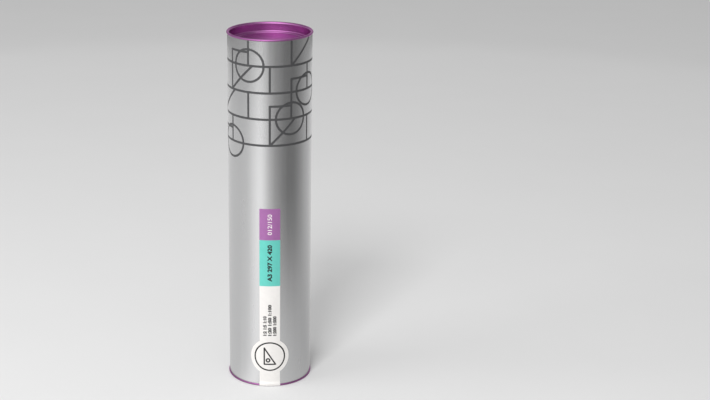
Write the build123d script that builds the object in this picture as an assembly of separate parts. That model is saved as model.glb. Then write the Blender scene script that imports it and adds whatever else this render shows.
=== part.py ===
from build123d import *
from math import degrees
import os

# A rigid drawing tube: a spiral-wound board tube wrapped in silver paper, closed
# at both ends by pressed metal caps, with a strip of stickers down its front.
#
# Lengths are in millimetres.  The origin is on the floor in the middle of the
# bottom cap's rim, +Z runs up the tube's axis and the stickers face -Y.

# Tube
tube_outside_diameter = 80.0
tube_length = 343.0
liner_thickness = 0.15
ply_thickness = 0.5
wrap_thickness = 0.15
wrap_lap_width = 12.0

# Caps, pressed from sheet metal
sheet_thickness = 0.3
plug_clearance = 0.1
plug_depth = 7.5
curl_overhang = 0.8
curl_height = 1.9
curl_roundness = 0.45
curl_end_gap = 0.5
seat_gap = 0.1
cap_corner_radius = 1.6
bead_inset = 3.2
bead_width = 2.6
bead_height = 0.8
bead_fillet_radius = 0.5

# Stickers
sticker_thickness = 0.1
strip_width = 20.0
strip_foot_clearance = 0.4
address_sticker_length = 105.0
title_sticker_length = 47.0
edition_sticker_length = 31.5
rim_step_length = 3.0
rim_clearance = 0.1
seal_radius = 19.0
seal_gap = 7.5

# Radii of the wall's layers, from outside to inside
tube_radius = tube_outside_diameter / 2
outer_ply_radius = tube_radius - wrap_thickness
middle_ply_radius = outer_ply_radius - ply_thickness
inner_ply_radius = middle_ply_radius - ply_thickness
liner_radius = inner_ply_radius - ply_thickness
bore_radius = liner_radius - liner_thickness

# Heights of the tube's ends
tube_foot = curl_height + seat_gap
tube_top = tube_foot + tube_length

# Radii of the caps.  The curl is rolled until its edges are nearly half round.
plug_radius = bore_radius - plug_clearance
curl_radius = tube_radius + curl_overhang
curl_edge_radius = curl_roundness * curl_height

# Heights on the front: the rim step, the joints between stickers, the seal's middle
rim_step_foot = tube_foot + seat_gap
rim_step_top = rim_step_foot + rim_step_length
address_sticker_top = strip_foot_clearance + address_sticker_length
title_sticker_top = address_sticker_top + title_sticker_length
seal_height = rim_step_top + seal_gap + seal_radius

FRONT = -90
BACK = 90


def sleeve(outer_radius, inner_radius, foot, length):
    """A plain tube about the Z axis."""
    ring = Circle(outer_radius) - Circle(inner_radius)
    return extrude(Pos(0, 0, foot) * ring, amount=length)


def wall_layer(outer_radius, thickness):
    """One wound layer of the tube's wall, from end to end."""
    return sleeve(outer_radius, outer_radius - thickness, tube_foot, tube_length)


def turned_patch(profile, arc_length, facing):
    """Turn an XZ profile about Z over an arc measured on the tube's surface."""
    angle = degrees_of_arc(arc_length)
    patch = revolve(profile, Axis.Z, revolution_arc=angle)
    return Rot(0, 0, facing - angle / 2) * patch


def degrees_of_arc(arc_length):
    """The angle that an arc on the tube's surface spans."""
    return degrees(arc_length / tube_radius)


def outer_wrap():
    """Silver paper, one turn round the board with its edge lapped at the back."""
    turn = wall_layer(tube_radius, wrap_thickness)
    lap_outline = Rectangle(wrap_thickness, tube_length, align=(Align.MIN, Align.MIN))
    lap_profile = Plane.XZ * Pos(tube_radius, tube_foot) * lap_outline
    return turn + turned_patch(lap_profile, wrap_lap_width, BACK)


def cap_path():
    """The middle line of the cap's sheet, from its centre out to the curl's end.

    Heights are counted from the tube's end, positive away from the tube.
    """
    half_sheet = sheet_thickness / 2
    floor = half_sheet - plug_depth
    wall = plug_radius - half_sheet
    bead_outside = wall - bead_inset
    bead_inside = bead_outside - bead_width
    bead_slope = bead_width / 4
    crest = floor + bead_height
    curl_top = seat_gap + curl_height - half_sheet
    curl_foot = seat_gap + half_sheet
    curl_side = curl_radius - half_sheet
    corner_radius = cap_corner_radius - half_sheet
    edge_radius = curl_edge_radius - half_sheet
    points = [
        (0, floor),
        (bead_inside, floor),
        (bead_inside + bead_slope, crest),
        (bead_outside - bead_slope, crest),
        (bead_outside, floor),
        (wall, floor),
        (wall, curl_top),
        (curl_side, curl_top),
        (curl_side, curl_foot),
        (wall + curl_end_gap, curl_foot),
    ]
    radii = [bead_fillet_radius] * 4 + [corner_radius] + [edge_radius] * 3
    return FilletPolyline(*points, radius=radii)


def cap_at_origin():
    """A pressed cap with its seat on the XY plane and its dish opening upwards."""
    path = cap_path()
    outline = path.wire().offset_2d(sheet_thickness / 2, side=Side.BOTH)
    section = make_face(outline)
    right_half = Rectangle(4 * curl_radius, 4 * curl_radius, align=(Align.MIN, Align.CENTER))
    return revolve(Plane.XZ * (section & right_half), Axis.Z)


def top_cap():
    """The cap that closes the upper end."""
    return Pos(0, 0, tube_top) * cap_at_origin()


def bottom_cap():
    """The same pressing, turned over, which the tube stands on."""
    return Pos(0, 0, tube_foot) * Rot(180, 0, 0) * cap_at_origin()


def strip_profile(foot, length):
    """A sticker's section on the plain part of the tube."""
    outline = Rectangle(sticker_thickness, length, align=(Align.MIN, Align.MIN))
    return Plane.XZ * Pos(tube_radius, foot) * outline


def address_profile():
    """The lowest sticker's section, which steps out over the bottom cap's rim."""
    step_radius = curl_radius + rim_clearance
    inner = [
        (step_radius, strip_foot_clearance),
        (step_radius, rim_step_foot),
        (tube_radius, rim_step_top),
        (tube_radius, address_sticker_top),
    ]
    outer = [(radius + sticker_thickness, height) for radius, height in reversed(inner)]
    return make_face(Plane.XZ * Polyline(*inner, *outer, close=True))


def address_sticker():
    """The long white sticker that runs down over the bottom rim."""
    return turned_patch(address_profile(), strip_width, FRONT)


def title_sticker():
    """The middle sticker."""
    profile = strip_profile(address_sticker_top, title_sticker_length)
    return turned_patch(profile, strip_width, FRONT)


def edition_sticker():
    """The uppermost sticker."""
    profile = strip_profile(title_sticker_top, edition_sticker_length)
    return turned_patch(profile, strip_width, FRONT)


def round_seal():
    """A round sticker over the strip, pressed down on the tube at its two sides."""
    foot = seal_height - seal_radius
    shell = sleeve(tube_radius + 2 * sticker_thickness, tube_radius, foot, 2 * seal_radius)
    disc = Pos(0, 0, seal_height) * extrude(Plane.XZ * Circle(seal_radius), amount=2 * tube_radius)
    return (shell & disc) - address_sticker()


nodes = {
    "inner_liner": wall_layer(liner_radius, liner_thickness),
    "board_ply_inner": wall_layer(inner_ply_radius, ply_thickness),
    "board_ply_middle": wall_layer(middle_ply_radius, ply_thickness),
    "board_ply_outer": wall_layer(outer_ply_radius, ply_thickness),
    "outer_wrap": outer_wrap(),
    "top_cap": top_cap(),
    "bottom_cap": bottom_cap(),
    "edition_sticker": edition_sticker(),
    "title_sticker": title_sticker(),
    "address_sticker": address_sticker(),
    "round_seal": round_seal(),
}

os.makedirs("parts", exist_ok=True)
for name, shape in nodes.items():
    export_step(shape, f"parts/{name}.step")
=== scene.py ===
"""The looks of a drawing tube: a wound board tube wrapped in silver paper, closed by
pressed metal caps and labelled with a strip of stickers and a round seal.

Lengths are in metres unless a name says otherwise.  The origin is on the floor under
the tube's axis, +Z runs up the tube and the stickers face -Y.
"""

import itertools
import math

import bmesh
import bpy
from bpy.props import FloatProperty, FloatVectorProperty, IntProperty, PointerProperty
from bpy.props import StringProperty
from bpy.types import Operator, Panel, PropertyGroup
from mathutils import Matrix, Vector


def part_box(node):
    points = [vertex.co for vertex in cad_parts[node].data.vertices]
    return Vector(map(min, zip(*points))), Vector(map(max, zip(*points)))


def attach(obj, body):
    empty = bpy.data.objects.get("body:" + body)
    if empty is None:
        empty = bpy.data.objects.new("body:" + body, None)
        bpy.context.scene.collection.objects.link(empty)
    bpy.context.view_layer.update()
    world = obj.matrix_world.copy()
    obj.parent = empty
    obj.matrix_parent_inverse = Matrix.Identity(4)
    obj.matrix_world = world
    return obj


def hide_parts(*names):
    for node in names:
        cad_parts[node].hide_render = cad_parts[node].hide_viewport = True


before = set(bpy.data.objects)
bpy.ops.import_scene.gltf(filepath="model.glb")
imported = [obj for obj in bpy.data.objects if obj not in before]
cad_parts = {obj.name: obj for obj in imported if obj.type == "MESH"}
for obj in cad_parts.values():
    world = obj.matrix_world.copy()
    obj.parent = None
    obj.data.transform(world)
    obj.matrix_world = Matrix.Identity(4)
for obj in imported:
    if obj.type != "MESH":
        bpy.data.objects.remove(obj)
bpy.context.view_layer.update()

bl_info = {
    "name": "Drawing tube",
    "version": (1, 0, 0),
    "blender": (4, 5, 0),
    "location": "3D View > Sidebar > Drawing tube",
    "description": "Makes the visible pieces of a silver drawing tube and the stage that shows it",
    "category": "Add Mesh",
}

MILLIMETRE = 0.001
SEAT_GAP = 0.1 * MILLIMETRE


# ---------------------------------------------------------------- sizes from the frame


def tidy(length):
    """A length rounded to a hundredth of a millimetre."""
    return round(length, 5)


def radii(node, keep=lambda point: True):
    """The smallest and largest distance from the tube's axis among a node's points."""
    points = [vertex.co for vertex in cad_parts[node].data.vertices]
    distances = [math.hypot(point.x, point.y) for point in points if keep(point)]
    return tidy(min(distances)), tidy(max(distances))


def heights(node):
    """The lowest and highest point of a node."""
    low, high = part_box(node)
    return tidy(low.z), tidy(high.z)


BOARD_FOOT, BOARD_TOP = heights("outer_wrap")
WRAP_INNER_RADIUS, LAP_RADIUS = radii("outer_wrap")
TUBE_RADIUS = tidy(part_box("outer_wrap")[1].x)
WRAP_THICKNESS = tidy(TUBE_RADIUS - WRAP_INNER_RADIUS)
CURL_RADIUS = tidy(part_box("top_cap")[1].x)
CAP_FOOT, CAP_TOP = heights("top_cap")
PLUG_RADIUS = radii("top_cap", lambda point: point.z < BOARD_TOP - MILLIMETRE)[1]
STICKER_THICKNESS = tidy(-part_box("title_sticker")[0].y - TUBE_RADIUS)
STRIP_WIDTH = tidy(
    2 * TUBE_RADIUS * math.asin(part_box("title_sticker")[1].x / (TUBE_RADIUS + STICKER_THICKNESS))
)
STRIP_FOOT, ADDRESS_TOP = heights("address_sticker")
TITLE_TOP = heights("title_sticker")[1]
EDITION_TOP = heights("edition_sticker")[1]
STEP_RADIUS = tidy(radii("address_sticker")[1] - STICKER_THICKNESS)
SEAL_FOOT, SEAL_TOP = heights("round_seal")
SEAL_RADIUS = (SEAL_TOP - SEAL_FOOT) / 2
SEAL_HEIGHT = (SEAL_TOP + SEAL_FOOT) / 2
AROUND = 2 * math.pi * TUBE_RADIUS


# ---------------------------------------------------------------- settings


class BoardSettings(PropertyGroup):
    """How the board and its liner are wound."""

    pitch: FloatProperty(
        name="Pitch",
        description="How far a wound strip climbs in one turn",
        default=0.104,
        unit="LENGTH",
    )
    seam_gap: FloatProperty(
        name="Seam gap",
        description="The gap between neighbouring turns of one strip",
        default=0.0004,
        unit="LENGTH",
    )
    seam_shift: FloatProperty(
        name="Seam shift",
        description="How far each layer's seam is turned from the seam of the layer inside it",
        default=math.radians(97),
        subtype="ANGLE",
    )
    steps_per_turn: IntProperty(
        name="Steps per turn",
        description="Faces in one turn of a strip",
        default=180,
    )
    board_colour: FloatVectorProperty(
        name="Board",
        description="Colour of the wound board",
        default=(0.36, 0.235, 0.135),
        subtype="COLOR",
    )
    liner_colour: FloatVectorProperty(
        name="Liner",
        description="Colour of the paper inside the tube",
        default=(0.72, 0.70, 0.65),
        subtype="COLOR",
    )


class WrapSettings(PropertyGroup):
    """The silver paper and the lines printed on it."""

    lap_width: FloatProperty(
        name="Lap width",
        description="How far the paper's edge laps over itself at the back",
        default=0.012,
        unit="LENGTH",
    )
    lap_ramp: FloatProperty(
        name="Lap ramp",
        description="Length over which the paper climbs onto the layer under it",
        default=0.0015,
        unit="LENGTH",
    )
    steps_around: IntProperty(
        name="Steps around",
        description="Faces round the tube",
        default=288,
    )
    silver: FloatVectorProperty(
        name="Silver",
        description="Colour of the metallised paper",
        default=(0.74, 0.74, 0.745),
        subtype="COLOR",
    )
    columns: IntProperty(
        name="Columns",
        description="Modules of the printed pattern round the tube",
        default=30,
    )
    line_width: FloatProperty(
        name="Line width",
        description="Width of a printed line",
        default=0.00215,
        unit="LENGTH",
    )
    ink_thickness: FloatProperty(
        name="Ink thickness",
        description="How far the ink stands on the paper",
        default=0.00002,
        unit="LENGTH",
    )
    line_colour: FloatVectorProperty(
        name="Line ink",
        description="Colour of the printed lines",
        default=(0.085, 0.085, 0.088),
        subtype="COLOR",
    )


class CapSettings(PropertyGroup):
    """The pressed caps at both ends."""

    sheet: FloatProperty(
        name="Sheet",
        description="Thickness of the sheet metal",
        default=0.0003,
        unit="LENGTH",
    )
    corner_radius: FloatProperty(
        name="Corner radius",
        description="Outer radius between the dish's wall and its floor",
        default=0.0016,
        unit="LENGTH",
    )
    lip_radius: FloatProperty(
        name="Lip radius",
        description="Radius of the sheet where the dish's wall turns out into the rolled edge",
        default=0.0018,
        unit="LENGTH",
    )
    bead_inset: FloatProperty(
        name="Bead inset",
        description="Distance from the dish's wall to the raised bead",
        default=0.0032,
        unit="LENGTH",
    )
    bead_width: FloatProperty(
        name="Bead width",
        description="Width of the raised bead on the dish's floor",
        default=0.0026,
        unit="LENGTH",
    )
    bead_height: FloatProperty(
        name="Bead height",
        description="Height of the raised bead",
        default=0.0008,
        unit="LENGTH",
    )
    bead_round: FloatProperty(
        name="Bead round",
        description="Radius at the corners of the raised bead",
        default=0.0005,
        unit="LENGTH",
    )
    curl_end_gap: FloatProperty(
        name="Curl end gap",
        description="Gap between the end of the rolled edge and the dish's wall",
        default=0.0005,
        unit="LENGTH",
    )
    steps_around: IntProperty(
        name="Steps around",
        description="Faces round a cap",
        default=240,
    )
    lacquer: FloatVectorProperty(
        name="Lacquer",
        description="Colour of the lacquered metal",
        default=(0.50, 0.19, 0.46),
        subtype="COLOR",
    )
    lacquer_edge: FloatVectorProperty(
        name="Lacquer at the edge",
        description="Tint of the lacquered metal where it is seen at a glancing angle",
        default=(0.90, 0.72, 0.88),
        subtype="COLOR",
    )


class StickerSettings(PropertyGroup):
    """The strip of stickers, the round seal and the figures on them."""

    corner_radius: FloatProperty(
        name="Corner radius",
        description="Radius at the corners of the strip's ends",
        default=0.0003,
        unit="LENGTH",
    )
    rim_step_top: FloatProperty(
        name="Rim step top",
        description="Height where the strip leaves the tube to pass over the bottom rim",
        default=0.0051,
        unit="LENGTH",
    )
    violet: FloatVectorProperty(
        name="Violet",
        description="Colour of the uppermost sticker",
        default=(0.44, 0.175, 0.44),
        subtype="COLOR",
    )
    mint: FloatVectorProperty(
        name="Mint",
        description="Colour of the middle sticker",
        default=(0.165, 0.71, 0.62),
        subtype="COLOR",
    )
    white: FloatVectorProperty(
        name="White",
        description="Colour of the white stickers",
        default=(0.90, 0.875, 0.85),
        subtype="COLOR",
    )
    black: FloatVectorProperty(
        name="Black ink",
        description="Colour of the figures and the seal's lines",
        default=(0.012, 0.012, 0.013),
        subtype="COLOR",
    )
    edition_figures: StringProperty(
        name="Edition figures",
        description="Figures on the violet sticker",
        default="012/150",
    )
    title_figures: StringProperty(
        name="Title figures",
        description="Sheet size on the mint sticker",
        default="A3 297 X 420",
    )
    ring_radius: FloatProperty(
        name="Ring radius",
        description="Radius of the ring printed on the seal",
        default=0.0146,
        unit="LENGTH",
    )
    ring_line: FloatProperty(
        name="Ring line",
        description="Width of the lines printed on the seal",
        default=0.0014,
        unit="LENGTH",
    )


class StageSettings(PropertyGroup):
    """Camera, lights and floor."""

    camera_distance: FloatProperty(
        name="Camera distance",
        description="Level distance from the tube's axis to the camera",
        default=1.40,
        unit="LENGTH",
    )
    camera_height: FloatProperty(
        name="Camera height",
        description="Height of the camera over the floor",
        default=0.652,
        unit="LENGTH",
    )
    camera_tilt: FloatProperty(
        name="Camera tilt",
        description="How far the camera looks down",
        default=math.radians(18.65),
        subtype="ANGLE",
    )
    lens: FloatProperty(
        name="Lens",
        description="Focal length in millimetres",
        default=77.2,
    )
    sideways_shift: FloatProperty(
        name="Sideways shift",
        description="Lens shift that sets the tube left of the middle",
        default=0.12,
    )
    floor_colour: FloatVectorProperty(
        name="Floor",
        description="Colour of the floor",
        default=(0.75, 0.75, 0.75),
        subtype="COLOR",
    )


# ---------------------------------------------------------------- making pieces


def finish_piece(name, mesh, material, body, replaced=()):
    """Put a finished mesh in the scene as a piece that rides on a body."""
    mesh.name = name
    mesh.materials.clear()
    mesh.materials.append(material)
    mesh.shade_smooth()
    mesh.set_sharp_from_angle(angle=math.radians(32))
    piece = bpy.data.objects.new(name, mesh)
    bpy.context.scene.collection.objects.link(piece)
    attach(piece, body)
    if replaced:
        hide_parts(*replaced)
    return piece


def mesh_from_bmesh(shape, name):
    """Close a bmesh into a mesh whose faces point outwards."""
    bmesh.ops.remove_doubles(shape, verts=shape.verts, dist=1e-7)
    bmesh.ops.recalc_face_normals(shape, faces=shape.faces)
    mesh = bpy.data.meshes.new(name)
    shape.to_mesh(mesh)
    shape.free()
    return mesh


def turned_mesh(name, outline, steps):
    """Turn a closed outline of (radius, height) points about the Z axis."""
    shape = bmesh.new()
    rings = []
    for radius, height in outline:
        if radius < 1e-6:
            rings.append([shape.verts.new((0, 0, height))] * steps)
            continue
        ring = []
        for step in range(steps):
            angle = 2 * math.pi * step / steps
            ring.append(shape.verts.new((radius * math.cos(angle), radius * math.sin(angle), height)))
        rings.append(ring)
    for here, there in zip(rings, rings[1:] + rings[:1]):
        for step in range(steps):
            after = (step + 1) % steps
            corners = [here[step], here[after], there[after], there[step]]
            distinct = list(dict.fromkeys(corners))
            if len(distinct) > 2:
                shape.faces.new(distinct)
    return mesh_from_bmesh(shape, name)


def rounded_path(points, corner_radii, arc_step=math.radians(9), longest=0.004):
    """Points and left-hand normals along a polyline whose corners are arcs."""
    samples = []

    def straight(start, end):
        length = (end - start).length
        if length < 1e-9:
            return
        direction = (end - start) / length
        normal = Vector((-direction.y, direction.x))
        pieces = max(1, math.ceil(length / longest))
        for index in range(pieces + 1):
            samples.append((start.lerp(end, index / pieces), normal))

    corners = [Vector(point) for point in points]
    position = corners[0]
    for before, corner, after, radius in zip(corners, corners[1:], corners[2:], corner_radii):
        incoming = (corner - before).normalized()
        outgoing = (after - corner).normalized()
        turn = incoming.angle_signed(outgoing)
        reach = radius * math.tan(abs(turn) / 2)
        straight(position, corner - incoming * reach)
        side = 1 if turn < 0 else -1
        inward = Vector((-incoming.y, incoming.x)) * side
        centre = corner - incoming * reach + inward * radius
        steps = max(2, math.ceil(abs(turn) / arc_step))
        for index in range(1, steps):
            angle = -turn * index / steps
            spoke = Matrix.Rotation(angle, 2) @ -inward
            samples.append((centre + spoke * radius, -spoke * side))
        position = corner + outgoing * reach
    straight(position, corners[-1])
    return samples


def smooth_step(value, low, high):
    """A smooth rise from 0 at low to 1 at high."""
    share = min(1.0, max(0.0, (value - low) / (high - low)))
    return share * share * (3 - 2 * share)


# ---------------------------------------------------------------- Geometry Nodes


class Tree:
    """A Geometry Nodes tree with named inputs, built link by link."""

    def __init__(self, name, inputs):
        self.group = bpy.data.node_groups.new(name, "GeometryNodeTree")
        interface = self.group.interface
        interface.new_socket("Geometry", in_out="INPUT", socket_type="NodeSocketGeometry")
        for label, kind in inputs:
            interface.new_socket(label, in_out="INPUT", socket_type=f"NodeSocket{kind}")
        interface.new_socket("Geometry", in_out="OUTPUT", socket_type="NodeSocketGeometry")
        self.inputs = self.group.nodes.new("NodeGroupInput").outputs
        self.result = self.group.nodes.new("NodeGroupOutput").inputs[0]

    def add(self, kind, wires=None, **settings):
        """Add a node, set its options and fill its sockets with values or links."""
        node = self.group.nodes.new(kind)
        for option, value in settings.items():
            setattr(node, option, value)
        for socket, value in (wires or {}).items():
            self.wire(value, node.inputs[socket])
        return node

    def wire(self, value, socket):
        """Link a socket, or set its own value."""
        if isinstance(value, bpy.types.NodeSocket):
            self.group.links.new(value, socket)
        else:
            socket.default_value = value

    def math(self, operation, first, second=0.0, third=0.0):
        """The result of a maths node."""
        wires = {0: first, 1: second, 2: third}
        return self.add("ShaderNodeMath", wires, operation=operation).outputs[0]

    def vector(self, x, y, z):
        """A vector from three values."""
        return self.add("ShaderNodeCombineXYZ", {0: x, 1: y, 2: z}).outputs[0]

    def position(self):
        """The three coordinates of each point."""
        place = self.add("GeometryNodeInputPosition").outputs[0]
        return self.add("ShaderNodeSeparateXYZ", {0: place}).outputs

    def join(self, *parts):
        """Several geometries as one."""
        node = self.add("GeometryNodeJoinGeometry")
        for part in parts:
            self.group.links.new(part, node.inputs[0])
        return node.outputs[0]

    def thickened(self, surface, offset):
        """A closed solid between a surface and its copy moved by an offset."""
        lifted = self.add(
            "GeometryNodeExtrudeMesh",
            {"Mesh": surface, "Offset": offset, "Offset Scale": 1.0, "Individual": False},
            mode="FACES",
        )
        under = self.add("GeometryNodeFlipFaces", {"Mesh": surface})
        both = self.join(lifted.outputs["Mesh"], under.outputs[0])
        merged = self.add("GeometryNodeMergeByDistance", {"Geometry": both, "Distance": 1e-7})
        return merged.outputs[0]

    def close(self, geometry):
        """End the tree in real geometry with its material."""
        real = self.add("GeometryNodeRealizeInstances", {0: geometry}).outputs[0]
        painted = self.add(
            "GeometryNodeSetMaterial", {"Geometry": real, "Material": self.inputs["Material"]}
        )
        self.group.links.new(painted.outputs[0], self.result)
        return self.group


def grown_mesh(name, group, values, source=None):
    """Run a Geometry Nodes tree on a source and return its result as a plain mesh."""
    if source is None:
        source = bpy.data.objects.new(f"{name}_source", bpy.data.meshes.new(f"{name}_source"))
    bpy.context.scene.collection.objects.link(source)
    modifier = source.modifiers.new("nodes", "NODES")
    modifier.node_group = group
    sockets = {item.name: item.identifier for item in group.interface.items_tree
               if item.in_out == "INPUT"}
    for label, value in values.items():
        modifier[sockets[label]] = value
    graph = bpy.context.evaluated_depsgraph_get()
    mesh = bpy.data.meshes.new_from_object(source.evaluated_get(graph), depsgraph=graph)
    source.modifiers.remove(modifier)
    bpy.data.objects.remove(source)
    shape = bmesh.new()
    shape.from_mesh(mesh)
    bmesh.ops.dissolve_degenerate(shape, edges=shape.edges, dist=1e-8)
    bpy.data.meshes.remove(mesh)
    return mesh_from_bmesh(shape, name)


def wound_strip_tree():
    """A strip wound in a helix and cut square at both ends of the tube."""
    tree = Tree(
        "wound_strip",
        [
            ("Inner Radius", "Float"),
            ("Thickness", "Float"),
            ("Pitch", "Float"),
            ("Seam Gap", "Float"),
            ("Start Angle", "Float"),
            ("Foot", "Float"),
            ("Length", "Float"),
            ("Steps Per Turn", "Int"),
            ("Material", "Material"),
        ],
    )
    given = tree.inputs
    travel = tree.math("ADD", given["Length"], given["Pitch"])
    turns = tree.math("DIVIDE", travel, given["Pitch"])
    columns = tree.math("MULTIPLY_ADD", turns, given["Steps Per Turn"], 1.0)
    grid = tree.add(
        "GeometryNodeMeshGrid",
        {"Size X": 1.0, "Size Y": 1.0, "Vertices X": columns, "Vertices Y": 2},
    )
    along, across, _ = tree.position()
    share = tree.math("ADD", along, 0.5)
    angle = tree.math("MULTIPLY_ADD", share, tree.math("MULTIPLY", turns, 2 * math.pi),
                      given["Start Angle"])
    climb = tree.math("MULTIPLY_ADD", share, travel, given["Foot"])
    strip_height = tree.math("SUBTRACT", given["Pitch"], given["Seam Gap"])
    below = tree.math("MULTIPLY", tree.math("SUBTRACT", across, 0.5), strip_height)
    height = tree.math("ADD", climb, below)
    ceiling = tree.math("ADD", given["Foot"], given["Length"])
    cut = tree.math("MAXIMUM", tree.math("MINIMUM", height, ceiling), given["Foot"])
    cosine = tree.math("COSINE", angle)
    sine = tree.math("SINE", angle)
    place = tree.vector(
        tree.math("MULTIPLY", cosine, given["Inner Radius"]),
        tree.math("MULTIPLY", sine, given["Inner Radius"]),
        cut,
    )
    wound = tree.add("GeometryNodeSetPosition", {"Geometry": grid.outputs[0], "Position": place})
    area = tree.add("GeometryNodeInputMeshFaceArea").outputs[0]
    empty = tree.add("FunctionNodeCompare", {0: area, 1: 1e-9}, operation="LESS_THAN").outputs[0]
    real = tree.add(
        "GeometryNodeDeleteGeometry",
        {"Geometry": wound.outputs[0], "Selection": empty},
        domain="FACE",
    )
    x, y, _ = tree.position()
    spoke = tree.vector(
        tree.math("DIVIDE", x, given["Inner Radius"]),
        tree.math("DIVIDE", y, given["Inner Radius"]),
        0.0,
    )
    outward = tree.add(
        "ShaderNodeVectorMath", {0: spoke, "Scale": given["Thickness"]}, operation="SCALE"
    ).outputs[0]
    return tree.close(tree.thickened(real.outputs[0], outward))


def printed_stroke_tree():
    """Flat strokes with round ends, wrapped on the tube as thin ink.

    The source's X is the distance round the tube and its Y is the height.
    """
    tree = Tree(
        "printed_stroke",
        [
            ("Line Width", "Float"),
            ("Ink Thickness", "Float"),
            ("Tube Radius", "Float"),
            ("Lift", "Float"),
            ("Step Centre", "Float"),
            ("Step Half Width", "Float"),
            ("Step Slope", "Float"),
            ("Step Height", "Float"),
            ("Stroke Rise", "Float"),
            ("Spacing", "Float"),
            ("Material", "Material"),
        ],
    )
    given = tree.inputs
    half_width = tree.math("MULTIPLY", given["Line Width"], 0.5)
    number = tree.add("GeometryNodeInputIndex").outputs[0]
    order = tree.add(
        "GeometryNodeCaptureAttribute", {"Geometry": given["Geometry"]}, domain="CURVE"
    )
    order.capture_items.new("INT", "Order")
    tree.wire(number, order.inputs["Order"])
    upright = tree.add("GeometryNodeSetCurveNormal", {"Curve": order.outputs["Geometry"]}, mode="Z_UP")
    stroke = tree.add(
        "GeometryNodeResampleCurve",
        {"Curve": upright.outputs[0], "Length": given["Spacing"]},
        mode="LENGTH",
    ).outputs[0]
    nib = tree.add(
        "GeometryNodeCurvePrimitiveLine",
        {
            "Start": tree.vector(tree.math("MULTIPLY", half_width, -1.0), 0.0, 0.0),
            "End": tree.vector(half_width, 0.0, 0.0),
        },
    ).outputs[0]
    fine_nib = tree.add("GeometryNodeResampleCurve", {"Curve": nib, "Count": 4}, mode="COUNT")
    ribbon = tree.add(
        "GeometryNodeCurveToMesh", {"Curve": stroke, "Profile Curve": fine_nib.outputs[0]}
    ).outputs[0]
    dot = tree.add(
        "GeometryNodeMeshCircle",
        {"Vertices": 24, "Radius": half_width},
        fill_type="TRIANGLE_FAN",
    ).outputs[0]
    ends = tree.add("GeometryNodeCurveEndpointSelection").outputs[0]
    dots = tree.add(
        "GeometryNodeInstanceOnPoints", {"Points": stroke, "Selection": ends, "Instance": dot}
    ).outputs[0]
    real_dots = tree.add("GeometryNodeRealizeInstances", {0: dots}).outputs[0]
    thickness = tree.vector(0.0, 0.0, given["Ink Thickness"])
    thicker = tree.vector(0.0, 0.0, tree.math("MULTIPLY", given["Ink Thickness"], 1.1))
    ink = tree.join(tree.thickened(ribbon, thickness), tree.thickened(real_dots, thicker))

    x, y, z = tree.position()
    sideways = tree.math("ABSOLUTE", tree.math("SUBTRACT", x, given["Step Centre"]))
    fall = tree.add(
        "ShaderNodeMapRange",
        {
            "Value": sideways,
            "From Min": given["Step Half Width"],
            "From Max": tree.math("ADD", given["Step Half Width"], given["Step Slope"]),
            "To Min": given["Step Height"],
            "To Max": 0.0,
        },
        interpolation_type="SMOOTHSTEP",
    ).outputs[0]
    rise = tree.math("MULTIPLY", order.outputs["Order"], given["Stroke Rise"])
    base = tree.math("ADD", given["Tube Radius"], given["Lift"])
    level = tree.math("ADD", tree.math("ADD", base, rise), tree.math("ADD", fall, z))
    angle = tree.math("DIVIDE", x, given["Tube Radius"])
    place = tree.vector(
        tree.math("MULTIPLY", tree.math("SINE", angle), level),
        tree.math("MULTIPLY", tree.math("COSINE", angle), tree.math("MULTIPLY", level, -1.0)),
        y,
    )
    wrapped = tree.add("GeometryNodeSetPosition", {"Geometry": ink, "Position": place})
    return tree.close(wrapped.outputs[0])


# ---------------------------------------------------------------- wrapping flat shapes


SLICE_AROUND = 0.8 * MILLIMETRE
FINE_SLICE = 0.5 * MILLIMETRE


def sliced(shape, step, axis):
    """Cut a flat shape across every step so that it can bend round the tube."""
    values = [vertex.co[axis] for vertex in shape.verts]
    first = math.floor(min(values) / step) + 1
    last = math.ceil(max(values) / step)
    normal = Vector((0, 0, 0))
    normal[axis] = 1
    for index in range(first, last):
        everything = shape.verts[:] + shape.edges[:] + shape.faces[:]
        bmesh.ops.bisect_plane(shape, geom=everything, plane_co=normal * index * step, plane_no=normal)


def wrapped(shape, radius_at):
    """Bend a flat shape round the tube: X goes round it, Y up it and Z away from it."""
    for vertex in shape.verts:
        x, y, z = vertex.co
        level = radius_at(x, y) + z
        angle = x / TUBE_RADIUS
        vertex.co = (level * math.sin(angle), -level * math.cos(angle), y)


def sheet_piece(outline, thickness):
    """A flat sheet cut to an outline, with its back on Z = 0."""
    shape = bmesh.new()
    face = shape.faces.new([shape.verts.new((x, y, 0)) for x, y in outline])
    lifted = bmesh.ops.extrude_face_region(shape, geom=[face])
    top = [item for item in lifted["geom"] if isinstance(item, bmesh.types.BMVert)]
    bmesh.ops.translate(shape, verts=top, vec=(0, 0, thickness))
    return shape


def rounded_rectangle(width, foot, top, radius, steps=4):
    """Corner-rounded outline of a strip centred on X = 0."""
    outline = []
    half = width / 2
    corners = [
        (half - radius, foot + radius, -90),
        (half - radius, top - radius, 0),
        (radius - half, top - radius, 90),
        (radius - half, foot + radius, 180),
    ]
    for x, y, start in corners:
        for index in range(steps + 1):
            angle = math.radians(start + 90 * index / steps)
            outline.append((x + radius * math.cos(angle), y + radius * math.sin(angle)))
    return outline


def circle_outline(radius, height, steps):
    """Outline of a round sheet centred on the front."""
    angles = [2 * math.pi * index / steps for index in range(steps)]
    return [(radius * math.cos(angle), height + radius * math.sin(angle)) for angle in angles]


# ---------------------------------------------------------------- materials


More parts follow.
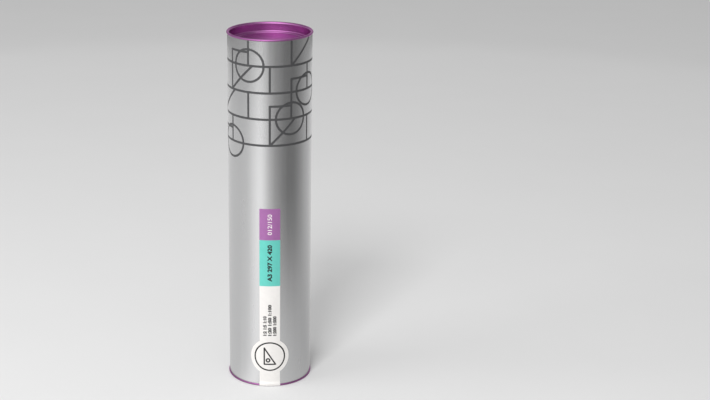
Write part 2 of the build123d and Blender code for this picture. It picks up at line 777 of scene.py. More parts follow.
class Finish:
    """A material under construction round one Principled shader."""

    def __init__(self, name, **shader_values):
        self.material = bpy.data.materials.new(name)
        self.material.use_nodes = True
        self.nodes = self.material.node_tree.nodes
        self.links = self.material.node_tree.links
        self.shader = self.nodes["Principled BSDF"]
        for socket, value in shader_values.items():
            self.shader.inputs[socket.replace("_", " ")].default_value = value
        self.place = self.nodes.new("ShaderNodeTexCoord").outputs["Object"]

    def add(self, kind, wires=None, **settings):
        """Add a node, set its options and fill its sockets with values or links."""
        node = self.nodes.new(kind)
        for option, value in settings.items():
            setattr(node, option, value)
        for socket, value in (wires or {}).items():
            if isinstance(value, bpy.types.NodeSocket):
                self.links.new(value, node.inputs[socket])
            else:
                node.inputs[socket].default_value = value
        return node

    def math(self, operation, first, second=0.0, third=0.0):
        """The result of a maths node."""
        return self.add("ShaderNodeMath", {0: first, 1: second, 2: third}, operation=operation).outputs[0]

    def stretched(self, x, y, z):
        """Object coordinates scaled along each axis."""
        node = self.add("ShaderNodeMapping", {"Vector": self.place, "Scale": (x, y, z)})
        return node.outputs[0]

    def noise(self, scale, detail=2.0, vector=None):
        """A noise value, with its scale counted in waves per metre."""
        wires = {"Vector": vector or self.place, "Scale": scale, "Detail": detail}
        return self.add("ShaderNodeTexNoise", wires).outputs[0]

    def spread(self, value, low, high, floor, ceiling, interpolation="LINEAR"):
        """Map a value from one range to another."""
        wires = {
            "Value": value,
            "From Min": low,
            "From Max": high,
            "To Min": floor,
            "To Max": ceiling,
        }
        return self.add("ShaderNodeMapRange", wires, interpolation_type=interpolation).outputs[0]

    def mixed(self, share, first, second):
        """A colour between two colours."""
        node = self.add("ShaderNodeMix", data_type="RGBA")
        for socket, value in ((0, share), (6, first), (7, second)):
            if isinstance(value, bpy.types.NodeSocket):
                self.links.new(value, node.inputs[socket])
            else:
                node.inputs[socket].default_value = value
        return node.outputs[2]

    def bump(self, height, distance, strength=1.0, under=None):
        """A normal bent by a height, on top of another one if given."""
        wires = {"Height": height, "Distance": distance, "Strength": strength}
        if under is not None:
            wires["Normal"] = under
        return self.add("ShaderNodeBump", wires).outputs[0]

    def feed(self, socket, value):
        """Link a value to the shader."""
        self.links.new(value, self.shader.inputs[socket])


def rgba(colour, factor=1.0):
    """A colour with its alpha, lightened or darkened by a factor."""
    return (colour[0] * factor, colour[1] * factor, colour[2] * factor, 1.0)


def silver_paper_material(settings):
    """Satin metallised paper with a fine tooth and long faint roller marks."""
    finish = Finish("silver_paper", Metallic=1.0, IOR=1.45)
    streaks = finish.noise(220.0, 2.0, finish.stretched(1.0, 1.0, 0.02))
    clouds = finish.noise(30.0, 3.0)
    shade = finish.math("ADD", finish.math("MULTIPLY", streaks, 0.6), finish.math("MULTIPLY", clouds, 0.4))
    colour = finish.mixed(
        finish.spread(shade, 0.3, 0.7, 0.0, 1.0), rgba(settings.silver, 0.975), rgba(settings.silver, 1.02)
    )
    finish.feed("Base Color", colour)
    finish.feed("Roughness", finish.spread(shade, 0.3, 0.7, 0.23, 0.28))
    tooth = finish.noise(3200.0, 3.0)
    rough = finish.bump(tooth, 0.00002, 0.12)
    finish.feed("Normal", finish.bump(streaks, 0.00001, 0.06, rough))
    return finish.material


def line_ink_material(settings):
    """Dark grey screen ink that lets a little of the silver's gloss through."""
    finish = Finish("line_ink", Metallic=0.35, Roughness=0.42)
    grain = finish.noise(1800.0, 2.0)
    colour = finish.mixed(grain, rgba(settings.line_colour, 0.9), rgba(settings.line_colour, 1.1))
    finish.feed("Base Color", colour)
    finish.feed("Normal", finish.bump(grain, 0.00001, 0.3))
    return finish.material


def board_material(settings):
    """Unbleached board with fibres that run round the tube."""
    finish = Finish("kraft_board", Roughness=0.88)
    fibres = finish.noise(700.0, 5.0, finish.stretched(1.0, 1.0, 4.0))
    specks = finish.noise(260.0, 2.0)
    shade = finish.math("MULTIPLY_ADD", specks, 0.5, finish.math("MULTIPLY", fibres, 0.5))
    colour = finish.mixed(
        finish.spread(shade, 0.35, 0.65, 0.0, 1.0),
        rgba(settings.board_colour, 0.78),
        rgba(settings.board_colour, 1.18),
    )
    finish.feed("Base Color", colour)
    finish.feed("Normal", finish.bump(fibres, 0.00008, 0.6))
    return finish.material


def liner_material(settings):
    """Uncoated white paper with a soft tooth."""
    finish = Finish("liner_paper", Roughness=0.82)
    fibres = finish.noise(900.0, 4.0, finish.stretched(1.0, 1.0, 2.5))
    colour = finish.mixed(
        finish.spread(fibres, 0.35, 0.65, 0.0, 1.0),
        rgba(settings.liner_colour, 0.95),
        rgba(settings.liner_colour, 1.04),
    )
    finish.feed("Base Color", colour)
    finish.feed("Normal", finish.bump(fibres, 0.00004, 0.5))
    return finish.material


def lacquered_metal_material(settings):
    """Pressed sheet metal under a clear purple lacquer, with faint turning marks."""
    finish = Finish(
        "lacquered_metal",
        Metallic=0.95,
        Specular_Tint=rgba(settings.lacquer_edge),
        Coat_Weight=0.05,
        Coat_Roughness=0.12,
        Coat_IOR=1.5,
    )
    x, y, _ = finish.add("ShaderNodeSeparateXYZ", {0: finish.place}).outputs
    radius = finish.math("SQRT", finish.math("MULTIPLY_ADD", x, x, finish.math("MULTIPLY", y, y)))
    rings = finish.add(
        "ShaderNodeTexNoise",
        {"W": finish.math("MULTIPLY", radius, 1500.0), "Scale": 1.0, "Detail": 2.0},
        noise_dimensions="1D",
    ).outputs[0]
    peel = finish.noise(420.0, 2.0)
    scuffs = finish.noise(90.0, 4.0)
    colour = finish.mixed(
        finish.spread(scuffs, 0.35, 0.65, 0.0, 1.0),
        rgba(settings.lacquer, 0.96),
        rgba(settings.lacquer, 1.04),
    )
    finish.feed("Base Color", colour)
    finish.feed("Roughness", finish.spread(scuffs, 0.35, 0.65, 0.21, 0.27))
    turned = finish.bump(rings, 0.000004, 0.35)
    finish.feed("Normal", finish.bump(peel, 0.00003, 0.12, turned))
    return finish.material


def sticker_material(name, colour, sheen):
    """Coated sticker paper: an even ink with a metallic sheen and a trace of tooth."""
    finish = Finish(name, Metallic=sheen, Roughness=0.40, Coat_Weight=0.15, Coat_Roughness=0.3)
    tooth = finish.noise(1500.0, 3.0)
    mottle = finish.noise(240.0, 2.0)
    tint = finish.mixed(finish.spread(mottle, 0.3, 0.7, 0.0, 1.0), rgba(colour, 0.975), rgba(colour, 1.02))
    finish.feed("Base Color", tint)
    finish.feed("Normal", finish.bump(tooth, 0.00002, 0.25))
    return finish.material


def figure_ink_material(name, colour):
    """Ink of the printed figures."""
    finish = Finish(name, Roughness=0.5)
    grain = finish.noise(2600.0, 2.0)
    finish.feed("Base Color", finish.mixed(grain, rgba(colour, 0.94), rgba(colour, 1.05)))
    finish.feed("Normal", finish.bump(grain, 0.00001, 0.2))
    return finish.material


# ---------------------------------------------------------------- pieces


WOUND_LAYERS = ("inner_liner", "board_ply_inner", "board_ply_middle", "board_ply_outer")


class DRAWINGTUBE_OT_board(Operator):
    """Make the paper liner and the wound board plies."""

    bl_idname = "drawing_tube.board"
    bl_label = "Board and liner"

    def execute(self, context):
        settings = context.scene.drawing_tube_board
        group = wound_strip_tree()
        board = board_material(settings)
        liner = liner_material(settings)
        for order, node in enumerate(WOUND_LAYERS):
            inner, outer = radii(node)
            foot, top = heights(node)
            is_liner = node == "inner_liner"
            values = {
                "Inner Radius": inner,
                "Thickness": outer - inner,
                "Pitch": settings.pitch,
                "Seam Gap": settings.seam_gap,
                "Start Angle": settings.seam_shift * order,
                "Foot": foot,
                "Length": top - foot,
                "Steps Per Turn": settings.steps_per_turn,
                "Material": liner if is_liner else board,
            }
            mesh = grown_mesh(node, group, values)
            finish_piece(f"{node}_strip", mesh, values["Material"], "tube", [node])
        return {"FINISHED"}


CUT_EDGE = 0.02 * MILLIMETRE


def wrap_section(settings):
    """Cross-section of the lapped paper: matching points on its inside and outside."""
    lap_half = settings.lap_width / 2 / TUBE_RADIUS
    ramp = settings.lap_ramp / TUBE_RADIUS
    edge = CUT_EDGE / TUBE_RADIUS
    back = math.pi / 2
    angles = {2 * math.pi * step / settings.steps_around for step in range(settings.steps_around)}
    angles |= {back - lap_half - edge, back - lap_half, back + lap_half}
    angles |= {back + lap_half + ramp * share / 4 for share in range(5)}
    section = []
    for angle in sorted(angles):
        rise = smooth_step(angle, back - lap_half - edge, back - lap_half)
        fall = smooth_step(angle, back + lap_half, back + lap_half + ramp)
        section.append((angle, TUBE_RADIUS + (LAP_RADIUS - TUBE_RADIUS) * (rise - fall)))
    return section


class DRAWINGTUBE_OT_wrap(Operator):
    """Make the silver paper round the board, lapped at the back."""

    bl_idname = "drawing_tube.wrap"
    bl_label = "Silver paper"

    def execute(self, context):
        settings = context.scene.drawing_tube_wrap
        shape = bmesh.new()
        loops = []
        for angle, outer in wrap_section(settings):
            ray = Vector((math.cos(angle), math.sin(angle), 0))
            corners = [
                (WRAP_INNER_RADIUS, BOARD_FOOT),
                (outer, BOARD_FOOT),
                (outer, BOARD_TOP),
                (WRAP_INNER_RADIUS, BOARD_TOP),
            ]
            loops.append([shape.verts.new(ray * radius + Vector((0, 0, z))) for radius, z in corners])
        for here, there in zip(loops, loops[1:] + loops[:1]):
            for corner in range(4):
                after = (corner + 1) % 4
                shape.faces.new((here[corner], here[after], there[after], there[corner]))
        mesh = mesh_from_bmesh(shape, "outer_wrap")
        material = silver_paper_material(settings)
        finish_piece("silver_wrap", mesh, material, "tube", ["outer_wrap"])
        return {"FINISHED"}


# The printed pattern is measured in modules of the grid round the tube.
PATTERN_ROWS = 11.8
CELL_WIDTH = 5
CELL_HEIGHT = 3
CELLS_IN_MOTIF = 3
BANDS = 4
CELL_KINDS = ("circle", "brace", "shelf")
CIRCLE_RADIUS = 1.82
MOTIF_COLUMNS = CELL_WIDTH * CELLS_IN_MOTIF
CIRCLE_STEPS = 96


def ring_points(x, y, radius, steps):
    """Points round a closed ring."""
    angles = [2 * math.pi * index / steps for index in range(steps + 1)]
    return [(x + radius * math.cos(angle), y + radius * math.sin(angle)) for angle in angles]


def trimmed(start, end, low, high):
    """The part of a straight stroke between two columns, or None."""
    if start[0] > end[0]:
        start, end = end, start
    if end[0] < low or start[0] > high:
        return None
    run = end[0] - start[0]
    if run == 0:
        return [start, end]
    ends = []
    for column in (max(start[0], low), min(end[0], high)):
        share = (column - start[0]) / run
        ends.append((column, start[1] + (end[1] - start[1]) * share))
    return ends


def cell_strokes(left, foot, kind):
    """The straight strokes of one cell: its foot line, its left post and its filling."""
    top = min(foot + CELL_HEIGHT, PATTERN_ROWS)
    middle = (left + CELL_WIDTH / 2, foot + CELL_HEIGHT / 2)
    strokes = [((left, foot), (left + CELL_WIDTH, foot)), ((left, foot), (left, top))]
    if kind == "brace":
        strokes.append(((left, foot), (left + top - foot, top)))
    if kind == "shelf":
        strokes.append(((middle[0], foot), middle))
        strokes.append((middle, (left + CELL_WIDTH, middle[1])))
    return strokes


def pattern_strokes(low, high):
    """The printed drafting pattern as strokes between two columns.

    Columns count round the tube from the front, rows count up from the base line.
    Cells are laid like bricks and take turns at holding a circle, a brace or a shelf.
    """
    strokes = []
    places = itertools.product((-MOTIF_COLUMNS, 0, MOTIF_COLUMNS), range(BANDS), range(CELLS_IN_MOTIF))
    for shift, band, cell in places:
        left = shift + CELL_WIDTH * (cell - 1 + band % 2 / 2)
        foot = CELL_HEIGHT * band
        kind = CELL_KINDS[(2 * band + cell) % len(CELL_KINDS)]
        for start, end in cell_strokes(left, foot, kind):
            part = trimmed(start, end, low, high)
            if part:
                strokes.append(part)
        if kind == "circle" and low < left - CIRCLE_RADIUS and left + CIRCLE_RADIUS < high:
            strokes.append(ring_points(left, foot, CIRCLE_RADIUS, CIRCLE_STEPS))
    return strokes


INK_LIFT = 0.006 * MILLIMETRE
STROKE_RISE = 0.0001 * MILLIMETRE
STROKE_SPACING = 1.2 * MILLIMETRE


def stroke_source(name, strokes):
    """A flat curve object with one poly spline for each stroke."""
    curve = bpy.data.curves.new(name, "CURVE")
    curve.dimensions = "3D"
    for points in strokes:
        spline = curve.splines.new("POLY")
        spline.points.add(len(points) - 1)
        for slot, (x, y) in zip(spline.points, points):
            slot.co = (x, y, 0, 1)
    return bpy.data.objects.new(name, curve)


class DRAWINGTUBE_OT_print(Operator):
    """Print the drafting pattern on the silver paper."""

    bl_idname = "drawing_tube.print"
    bl_label = "Printed lines"

    def execute(self, context):
        settings = context.scene.drawing_tube_wrap
        module = AROUND / settings.columns
        base = BOARD_TOP - PATTERN_ROWS * module
        pen = settings.line_width / 2
        highest = BOARD_TOP - pen
        low = (-AROUND / 2 - settings.lap_width / 2 + pen) / module
        high = (AROUND / 2 - settings.lap_width / 2 - pen) / module
        strokes = []
        for stroke in pattern_strokes(low, high):
            strokes.append([(column * module, min(base + row * module, highest)) for column, row in stroke])
        values = {
            "Line Width": settings.line_width,
            "Ink Thickness": settings.ink_thickness,
            "Tube Radius": TUBE_RADIUS,
            "Lift": INK_LIFT,
            "Step Centre": -AROUND / 2,
            "Step Half Width": settings.lap_width / 2,
            "Step Slope": settings.lap_ramp,
            "Step Height": LAP_RADIUS - TUBE_RADIUS,
            "Stroke Rise": STROKE_RISE,
            "Spacing": STROKE_SPACING,
            "Material": line_ink_material(settings),
        }
        source = stroke_source("pattern", strokes)
        mesh = grown_mesh("printed_lines", printed_stroke_tree(), values, source)
        finish_piece("printed_lines", mesh, values["Material"], "tube")
        return {"FINISHED"}


CURL_ROUNDNESS = 0.99


def cap_outline(settings):
    """Closed section of a cap's sheet, with heights counted from the tube's end."""
    half = settings.sheet / 2
    floor = CAP_FOOT - BOARD_TOP + half
    crest = floor + settings.bead_height
    wall = PLUG_RADIUS - half
    bead_outside = wall - settings.bead_inset
    bead_inside = bead_outside - settings.bead_width
    slope = settings.bead_width / 4
    curl_top = CAP_TOP - BOARD_TOP - half
    curl_foot = SEAT_GAP + half
    curl_side = CURL_RADIUS - half
    edge = (curl_top - curl_foot) / 2 * CURL_ROUNDNESS
    points = [
        (0, floor),
        (bead_inside, floor),
        (bead_inside + slope, crest),
        (bead_outside - slope, crest),
        (bead_outside, floor),
        (wall, floor),
        (wall, curl_top),
        (curl_side, curl_top),
        (curl_side, curl_foot),
        (wall + settings.curl_end_gap, curl_foot),
    ]
    corner_radii = [settings.bead_round] * 4 + [settings.corner_radius - half, settings.lip_radius]
    corner_radii += [edge, edge]
    samples = rounded_path(points, corner_radii)
    upper = [tuple(point + normal * half) for point, normal in samples]
    lower = [tuple(point - normal * half) for point, normal in samples]
    return upper + lower[::-1]


class DRAWINGTUBE_OT_caps(Operator):
    """Make the two pressed metal caps."""

    bl_idname = "drawing_tube.caps"
    bl_label = "Caps"

    def execute(self, context):
        settings = context.scene.drawing_tube_cap
        outline = cap_outline(settings)
        material = lacquered_metal_material(settings)
        upright = [(radius, BOARD_TOP + height) for radius, height in outline]
        turned_over = [(radius, BOARD_FOOT - height) for radius, height in outline]
        for node, section in (("top_cap", upright), ("bottom_cap", turned_over)):
            mesh = turned_mesh(node, section, settings.steps_around)
            finish_piece(f"{node}_pressing", mesh, material, node, [node])
        return {"FINISHED"}


def strip_level(x, y):
    """Radius under the strip of stickers, which steps out over the bottom rim."""
    step_top = bpy.context.scene.drawing_tube_sticker.rim_step_top
    out = 1 - smooth_step(y, BOARD_FOOT + SEAT_GAP, step_top)
    return TUBE_RADIUS + (STEP_RADIUS - TUBE_RADIUS) * out


SEAL_SLOPE = 0.7 * MILLIMETRE


def seal_level(x, y):
    """Radius under the round seal, which lies over the strip and down its two sides."""
    fall = smooth_step(abs(x), STRIP_WIDTH / 2, STRIP_WIDTH / 2 + SEAL_SLOPE)
    return TUBE_RADIUS + STICKER_THICKNESS * (1 - fall)


class DRAWINGTUBE_OT_stickers(Operator):
    """Make the strip of three stickers."""

    bl_idname = "drawing_tube.stickers"
    bl_label = "Strip of stickers"

    def execute(self, context):
        settings = context.scene.drawing_tube_sticker
        strip = (
            ("edition_sticker", TITLE_TOP, EDITION_TOP, settings.violet, "violet_sticker", 0.5),
            ("title_sticker", ADDRESS_TOP, TITLE_TOP, settings.mint, "mint_sticker", 0.45),
            ("address_sticker", STRIP_FOOT, ADDRESS_TOP, settings.white, "white_sticker", 0.2),
        )
        for node, foot, top, colour, slot, sheen in strip:
            outline = rounded_rectangle(STRIP_WIDTH, foot, top, settings.corner_radius)
            shape = sheet_piece(outline, STICKER_THICKNESS)
            sliced(shape, SLICE_AROUND, 0)
            if node == "address_sticker":
                sliced(shape, FINE_SLICE, 1)
            wrapped(shape, strip_level)
            mesh = mesh_from_bmesh(shape, node)
            material = sticker_material(slot, colour, sheen)
            finish_piece(f"{node}_sheet", mesh, material, "tube", [node])
        return {"FINISHED"}


FIGURE_INK = 0.015 * MILLIMETRE
EDITION_LENGTH = 20.5 * MILLIMETRE
EDITION_HEIGHT = 4.2 * MILLIMETRE
EDITION_BOLDNESS = 0.004
TITLE_LENGTH = 37.5 * MILLIMETRE
TITLE_HEIGHT = 4.6 * MILLIMETRE
TITLE_BOLDNESS = 0.046
SCALE_HEIGHT = 3.4 * MILLIMETRE
SCALE_BOLDNESS = 0.055
SCALE_PITCH = 4.8 * MILLIMETRE
SCALE_FOOT = SEAL_TOP + 3.0 * MILLIMETRE
SHORT_SCALE = 20.5 * MILLIMETRE
LONG_SCALE = 32.5 * MILLIMETRE


def figure_mesh(text, length, height, boldness):
    """A line of figures as a flat solid that starts at the origin and runs along +X."""
    curve = bpy.data.curves.new("figures", "FONT")
    curve.body = text
    curve.size = 1.0
    curve.offset = boldness
    curve.extrude = 0.5
    curve.resolution_u = 5
    source = bpy.data.objects.new("figures", curve)
    bpy.context.scene.collection.objects.link(source)
    graph = bpy.context.evaluated_depsgraph_get()
    mesh = bpy.data.meshes.new_from_object(source.evaluated_get(graph), depsgraph=graph)
    bpy.data.objects.remove(source)
    xs = [vertex.co.x for vertex in mesh.vertices]
    ys = [vertex.co.y for vertex in mesh.vertices]
    stretch = (length / (max(xs) - min(xs)), height / (max(ys) - min(ys)), FIGURE_INK, 1)
    mesh.transform(Matrix.Translation((-min(xs), -(min(ys) + max(ys)) / 2, 0.5)))
    mesh.transform(Matrix.Diagonal(stretch))
    return mesh


def figures_on_strip(name, lines, height, boldness, material):
    """Print lines of figures that read upwards on the strip.

    Each line is its text, its place across the strip, its foot and its length.
    """
    shape = bmesh.new()
    for text, across, foot, length in lines:
        mesh = figure_mesh(text, length, height, boldness)
        mesh.transform(Matrix.Rotation(math.radians(90), 4, "Z"))
        mesh.transform(Matrix.Translation((across, foot, 0)))
        shape.from_mesh(mesh)
        bpy.data.meshes.remove(mesh)
    sliced(shape, SLICE_AROUND, 0)
    wrapped(shape, lambda x, y: strip_level(x, y) + STICKER_THICKNESS)
    finish_piece(name, mesh_from_bmesh(shape, name), material, "tube")


def middle_of(foot, top, length):
    """Where a line of a given length starts to stand in the middle of a sticker."""
    return (foot + top - length) / 2


class DRAWINGTUBE_OT_figures(Operator):
    """Print the figures on the stickers."""

    bl_idname = "drawing_tube.figures"
    bl_label = "Figures"

    def execute(self, context):
        settings = context.scene.drawing_tube_sticker
        white = figure_ink_material("white_figures", settings.white)
        black = figure_ink_material("black_figures", settings.black)
        foot = middle_of(TITLE_TOP, EDITION_TOP, EDITION_LENGTH)
        edition = [(settings.edition_figures, 0, foot, EDITION_LENGTH)]
        figures_on_strip(
            "edition_figures", edition, EDITION_HEIGHT, EDITION_BOLDNESS, white
        )
        foot = middle_of(ADDRESS_TOP, TITLE_TOP, TITLE_LENGTH)
        title = [(settings.title_figures, 0, foot, TITLE_LENGTH)]
        figures_on_strip("title_figures", title, TITLE_HEIGHT, TITLE_BOLDNESS, black)
        scales = [
            ("1:2 1:5 1:10", -SCALE_PITCH, SCALE_FOOT, SHORT_SCALE),
            ("1:20 1:50 1:100", 0, SCALE_FOOT, LONG_SCALE),
            ("1:200 1:500", SCALE_PITCH, SCALE_FOOT, SHORT_SCALE),
        ]
        figures_on_strip("scale_figures", scales, SCALE_HEIGHT, SCALE_BOLDNESS, black)
        return {"FINISHED"}


SET_SQUARE_LEFT = -5.4 * MILLIMETRE
SET_SQUARE_RIGHT = 5.6 * MILLIMETRE
SET_SQUARE_FOOT = SEAL_HEIGHT - 8.2 * MILLIMETRE
SET_SQUARE_TOP = SEAL_HEIGHT + 9.0 * MILLIMETRE
HOLE_ACROSS = SET_SQUARE_LEFT + 3.7 * MILLIMETRE
HOLE_HEIGHT = SET_SQUARE_FOOT + 4.2 * MILLIMETRE
HOLE_RADIUS = 1.7 * MILLIMETRE
SEAL_INK_LIFT = 0.004 * MILLIMETRE
SEAL_STROKE_RISE = 0.0003 * MILLIMETRE
SEAL_STROKE_SPACING = 0.5 * MILLIMETRE


class DRAWINGTUBE_OT_seal(Operator):
    """Make the round seal with its printed ring and set square."""

    bl_idname = "drawing_tube.seal"
    bl_label = "Round seal"

    def execute(self, context):
        settings = context.scene.drawing_tube_sticker
        shape = sheet_piece(circle_outline(SEAL_RADIUS, SEAL_HEIGHT, 144), STICKER_THICKNESS)
        sliced(shape, FINE_SLICE, 0)
        wrapped(shape, seal_level)
        mesh = mesh_from_bmesh(shape, "round_seal")
        material = sticker_material("seal_paper", settings.white, 0.2)
        finish_piece("round_seal_sheet", mesh, material, "tube", ["round_seal"])

        heel = (SET_SQUARE_LEFT, SET_SQUARE_FOOT)
        toe = (SET_SQUARE_RIGHT, SET_SQUARE_FOOT)
        tip = (SET_SQUARE_LEFT, SET_SQUARE_TOP)
        ring = ring_points(0, SEAL_HEIGHT, settings.ring_radius, 128)
        hole = ring_points(HOLE_ACROSS, HOLE_HEIGHT, HOLE_RADIUS, 32)
        values = {
            "Line Width": settings.ring_line,
            "Ink Thickness": FIGURE_INK,
            "Tube Radius": TUBE_RADIUS,
            "Lift": STICKER_THICKNESS + SEAL_INK_LIFT,
            "Step Centre": 0.0,
            "Step Half Width": STRIP_WIDTH / 2,
            "Step Slope": SEAL_SLOPE,
            "Step Height": STICKER_THICKNESS,
            "Stroke Rise": SEAL_STROKE_RISE,
            "Spacing": SEAL_STROKE_SPACING,
            "Material": figure_ink_material("seal_ink", settings.black),
        }
        strokes = [(heel, toe), (toe, tip), (tip, heel), ring, hole]
        source = stroke_source("seal_lines", strokes)
        mesh = grown_mesh("seal_lines", printed_stroke_tree(), values, source)
        finish_piece("seal_lines", mesh, values["Material"], "tube")
        return {"FINISHED"}


# ---------------------------------------------------------------- stage


def floor_material(settings):
    """A matt pale floor with the faintest mottle."""
    finish = Finish("floor", Roughness=0.9)
    mottle = finish.noise(9.0, 3.0)
    colour = finish.mixed(mottle, rgba(settings.floor_colour, 0.985), rgba(settings.floor_colour, 1.01))
    finish.feed("Base Color", colour)
    return finish.material


# Painted reflections by direction: degrees round from the front, then brightness.
FAR_REFLECTIONS = (
    (-180, 0.86),
    (-150, 0.70),
    (-115, 0.66),
    (-80, 0.62),
    (-55, 0.68),
    (-27, 1.24),
    (-14, 0.88),
    (6, 0.42),
    (35, 0.20),
    (60, 0.14),
    (82, 0.24),
    (108, 0.48),
    (140, 0.62),
    (180, 0.86),
)
NEAR_REFLECTIONS = (
    (-180, 0.66),
    (-80, 0.64),
    (-52, 0.74),
    (-28, 1.12),
    (-12, 0.82),
    (10, 0.66),
    (50, 0.54),
    (100, 0.43),
    (140, 0.52),
    (180, 0.66),
)
# Painted reflections of a room, low and high: a painted bright panel at the left front.
LOW_REFLECTIONS = (
    (-180, 0.50),
    (-130, 0.42),
    (-90, 0.50),
    (-45, 1.10),
    (-20, 1.55),
    (2, 1.00),
    (30, 0.50),
    (80, 0.24),
    (130, 0.36),
    (180, 0.50),
)
HIGH_REFLECTIONS = (
    (-180, 0.22),
    (-110, 0.28),
    (-55, 1.40),
    (-20, 2.60),
    (8, 1.50),
    (36, 0.26),
    (110, 0.22),
    (180, 0.22),
)
GLOW_PEAK = 3.0
# Brightness of a painted dark ring far out on the reflection floor, which darkens the caps' rolled edges in
# reflection, and of a painted contact shade round the tube's foot; the radii below say where each lies.
PAINTED_DARK_RING = 0.12
PAINTED_CONTACT_SHADE = 0.25
CEILING_GLOW = 1.15
NEAR_FLOOR, FAR_FLOOR = 0.10, 0.62
DARK_RING_INNER, DARK_RING_OUTER = 1.40, 1.58
CONTACT_INNER = CURL_RADIUS + 1.0 * MILLIMETRE
CONTACT_OUTER = CURL_RADIUS + 3.5 * MILLIMETRE
LOW_WALL, HIGH_WALL = math.radians(20), math.radians(42)
WALL_TOP, CEILING = math.radians(58), math.radians(78)


def glow_shade(brightness):
    """A grey that glows with a brightness once the glow's strength is applied."""
    share = brightness / GLOW_PEAK
    return (share, share, share, 1)


def bearing_ramp(finish, x, y, stops):
    """Brightness by direction, from (degrees from the front, brightness) stops."""
    angle = finish.math("ARCTAN2", x, finish.math("MULTIPLY", y, -1.0))
    share = finish.math("MULTIPLY_ADD", angle, 1 / (2 * math.pi), 0.5)
    node = finish.add("ShaderNodeValToRGB", {"Fac": share})
    ramp = node.color_ramp
    ramp.interpolation = "B_SPLINE"
    while len(ramp.elements) < len(stops):
        ramp.elements.new(0.5)
    for element, (degrees, brightness) in zip(ramp.elements, stops):
        element.position = degrees / 360 + 0.5
        element.color = glow_shade(brightness)
    return node.outputs[0]


def glow_material(name, level):
    """A material that only glows, for painted reflections, with its brightness made by a function of the
    finish.
    """
    finish = Finish(name)
    x, y, z = finish.add("ShaderNodeSeparateXYZ", {0: finish.place}).outputs
    radius = finish.math("SQRT", finish.math("MULTIPLY_ADD", x, x, finish.math("MULTIPLY", y, y)))
    colour = level(finish, x, y, z, radius)
    glow = finish.add("ShaderNodeEmission", {"Color": colour, "Strength": GLOW_PEAK})
    output = finish.nodes["Material Output"]
    finish.links.new(glow.outputs[0], output.inputs["Surface"])
    finish.nodes.remove(finish.shader)
    finish.material.cycles.emission_sampling = "NONE"
    return finish.material


def painted_floor_reflections(finish, x, y, z, radius):
    """Painted reflections of the floor, seen by gloss alone: a painted bright panel at the left front and a
    painted dark one at the right front, both fading into the plain floor close to the tube, with a painted
    dark ring far out and a painted contact shade round the tube's foot."""
    away = finish.spread(radius, NEAR_FLOOR, FAR_FLOOR, 0.0, 1.0, "SMOOTHSTEP")
    near = bearing_ramp(finish, x, y, NEAR_REFLECTIONS)
    far = bearing_ramp(finish, x, y, FAR_REFLECTIONS)
    open_floor = finish.mixed(away, near, far)
    # Painted dark ring far out on the reflection floor.
    outside = finish.spread(radius, DARK_RING_INNER, DARK_RING_OUTER, 0.0, 1.0, "SMOOTHSTEP")
    with_dark_ring = finish.mixed(outside, open_floor, glow_shade(PAINTED_DARK_RING))
    # Painted contact shade: the reflection floor darkens close to the tube.
    contact_shade = finish.spread(radius, CONTACT_INNER, CONTACT_OUTER, 1.0, 0.0, "SMOOTHSTEP")
    return finish.mixed(contact_shade, with_dark_ring, glow_shade(PAINTED_CONTACT_SHADE))


def painted_room_reflections(finish, x, y, z, radius):
    """Painted reflections of a room, seen by gloss alone: a painted soft panel at the left front under a
    painted dim ceiling.
    """
    height = finish.math("ARCTAN2", z, radius)
    up = finish.spread(height, LOW_WALL, HIGH_WALL, 0.0, 1.0, "SMOOTHSTEP")
    low = bearing_ramp(finish, x, y, LOW_REFLECTIONS)
    high = bearing_ramp(finish, x, y, HIGH_REFLECTIONS)
    walls = finish.mixed(up, low, high)
    overhead = finish.spread(height, WALL_TOP, CEILING, 0.0, 1.0, "SMOOTHSTEP")
    return finish.mixed(overhead, walls, glow_shade(CEILING_GLOW))


def only_in_gloss(stage_object):
    """Hide a stage object from everything but glossy rays."""
    stage_object.visible_camera = False
    stage_object.visible_diffuse = False
    stage_object.visible_shadow = False
    stage_object.visible_transmission = False
    stage_object.visible_volume_scatter = False


def staged(name, shape, material):
    """Put a bmesh on the stage."""
    mesh = bpy.data.meshes.new(name)
    shape.to_mesh(mesh)
    shape.free()
    mesh.materials.append(material)
    stage_object = bpy.data.objects.new(name, mesh)
    bpy.context.scene.collection.objects.link(stage_object)
    return stage_object


def stage_room(name, radius, material):
    """A half sphere over the stage."""
    shape = bmesh.new()
    bmesh.ops.create_uvsphere(shape, u_segments=64, v_segments=32, radius=radius)
    below = [vertex for vertex in shape.verts if vertex.co.z < -0.001]
    bmesh.ops.delete(shape, geom=below, context="VERTS")
    return staged(name, shape, material)


def stage_disc(name, radius, height, material):
    """A round sheet of stage."""
    outline = circle_outline(radius, 0, 72)
    shape = bmesh.new()
    shape.faces.new([shape.verts.new((x, y, height)) for x, y in outline])
    return staged(name, shape, material)


def aimed(thing, place, target):
    """Put a lamp or camera at a place and point it at a target."""
    thing.location = place
    thing.rotation_euler = (Vector(target) - Vector(place)).to_track_quat("-Z", "Y").to_euler()


def soft_light(name, place, target, width, height, power):
    """A rectangular soft light."""
    lamp = bpy.data.lights.new(name, "AREA")
    lamp.shape = "RECTANGLE"
    lamp.size = width
    lamp.size_y = height
    lamp.energy = power
    light = bpy.data.objects.new(name, lamp)
    light.visible_glossy = False
    aimed(light, place, target)
    bpy.context.scene.collection.objects.link(light)


FLOOR_RADIUS = 12.0
GLOSS_FLOOR_RADIUS = 6.0
GLOSS_FLOOR_HEIGHT = 0.2 * MILLIMETRE
GLOSS_ROOM_RADIUS = 5.9
ROOM_GREY = (0.97, 0.97, 0.97, 1)
ROOM_STRENGTH = 0.58
KEY_PLACE, KEY_SIZE, KEY_POWER = (-0.47, -1.55, 1.85), (0.7, 0.7), 33.0
FILL_PLACE, FILL_SIZE, FILL_POWER = (-2.2, -0.5, 1.1), (1.4, 1.2), 16.0


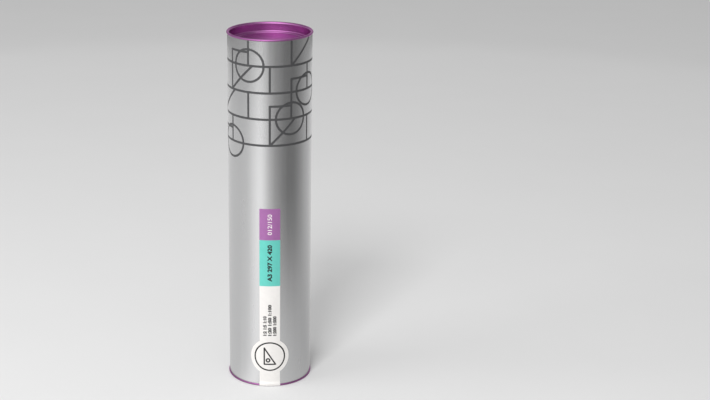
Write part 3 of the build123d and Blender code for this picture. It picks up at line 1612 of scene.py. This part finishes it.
class DRAWINGTUBE_OT_stage(Operator):
    """Make the floor, the painted reflection floor and room, the lights and the camera."""

    bl_idname = "drawing_tube.stage"
    bl_label = "Stage"

    def execute(self, context):
        settings = context.scene.drawing_tube_stage
        scene = context.scene
        scene.view_settings.view_transform = "Standard"
        stage_disc("floor", FLOOR_RADIUS, 0.0, floor_material(settings))
        # Painted reflections: a floor disc and a half sphere that glow for glossy rays alone, though they
        # are no lamps.
        floor_look = glow_material("painted_reflection_floor", painted_floor_reflections)
        only_in_gloss(stage_disc("painted_reflection_floor", GLOSS_FLOOR_RADIUS, GLOSS_FLOOR_HEIGHT, floor_look))
        room_look = glow_material("painted_reflection_room", painted_room_reflections)
        only_in_gloss(stage_room("painted_reflection_room", GLOSS_ROOM_RADIUS, room_look))

        world = bpy.data.worlds.new("pale_room")
        world.use_nodes = True
        background = world.node_tree.nodes["Background"]
        background.inputs["Color"].default_value = ROOM_GREY
        background.inputs["Strength"].default_value = ROOM_STRENGTH
        scene.world = world

        middle = (0, 0, (BOARD_FOOT + BOARD_TOP) / 2)
        soft_light("key", KEY_PLACE, middle, *KEY_SIZE, KEY_POWER)
        soft_light("left_fill", FILL_PLACE, middle, *FILL_SIZE, FILL_POWER)

        lens = bpy.data.cameras.new("camera")
        lens.sensor_width = 36.0
        lens.lens = settings.lens
        lens.shift_x = settings.sideways_shift
        camera = bpy.data.objects.new("camera", lens)
        camera.location = (0, -settings.camera_distance, settings.camera_height)
        camera.rotation_euler = (math.radians(90) - settings.camera_tilt, 0, 0)
        scene.collection.objects.link(camera)
        scene.camera = camera
        return {"FINISHED"}


# ---------------------------------------------------------------- add-on


OPERATORS = (
    DRAWINGTUBE_OT_stage,
    DRAWINGTUBE_OT_board,
    DRAWINGTUBE_OT_wrap,
    DRAWINGTUBE_OT_print,
    DRAWINGTUBE_OT_caps,
    DRAWINGTUBE_OT_stickers,
    DRAWINGTUBE_OT_figures,
    DRAWINGTUBE_OT_seal,
)

SETTINGS = {
    "drawing_tube_board": BoardSettings,
    "drawing_tube_wrap": WrapSettings,
    "drawing_tube_cap": CapSettings,
    "drawing_tube_sticker": StickerSettings,
    "drawing_tube_stage": StageSettings,
}


class DRAWINGTUBE_PT_panel(Panel):
    """Lists the drawing tube's sizes, colours and pieces."""

    bl_idname = "DRAWINGTUBE_PT_panel"
    bl_label = "Drawing tube"
    bl_space_type = "VIEW_3D"
    bl_region_type = "UI"
    bl_category = "Drawing tube"

    def draw(self, context):
        for name, group in SETTINGS.items():
            box = self.layout.box()
            settings = getattr(context.scene, name)
            for label in group.__annotations__:
                box.prop(settings, label)
        for operator in OPERATORS:
            self.layout.operator(operator.bl_idname)


def register():
    """Register the settings, the operators and the panel."""
    for name, group in SETTINGS.items():
        bpy.utils.register_class(group)
        setattr(bpy.types.Scene, name, PointerProperty(type=group))
    for operator in OPERATORS:
        bpy.utils.register_class(operator)
    bpy.utils.register_class(DRAWINGTUBE_PT_panel)


def unregister():
    """Take everything away again."""
    bpy.utils.unregister_class(DRAWINGTUBE_PT_panel)
    for operator in reversed(OPERATORS):
        bpy.utils.unregister_class(operator)
    for name, group in SETTINGS.items():
        delattr(bpy.types.Scene, name)
        bpy.utils.unregister_class(group)


def main():
    """Make every piece and the stage."""
    register()
    for operator in OPERATORS:
        name = operator.bl_idname.split(".")[1]
        getattr(bpy.ops.drawing_tube, name)()


if __name__ == "__main__":
    main()
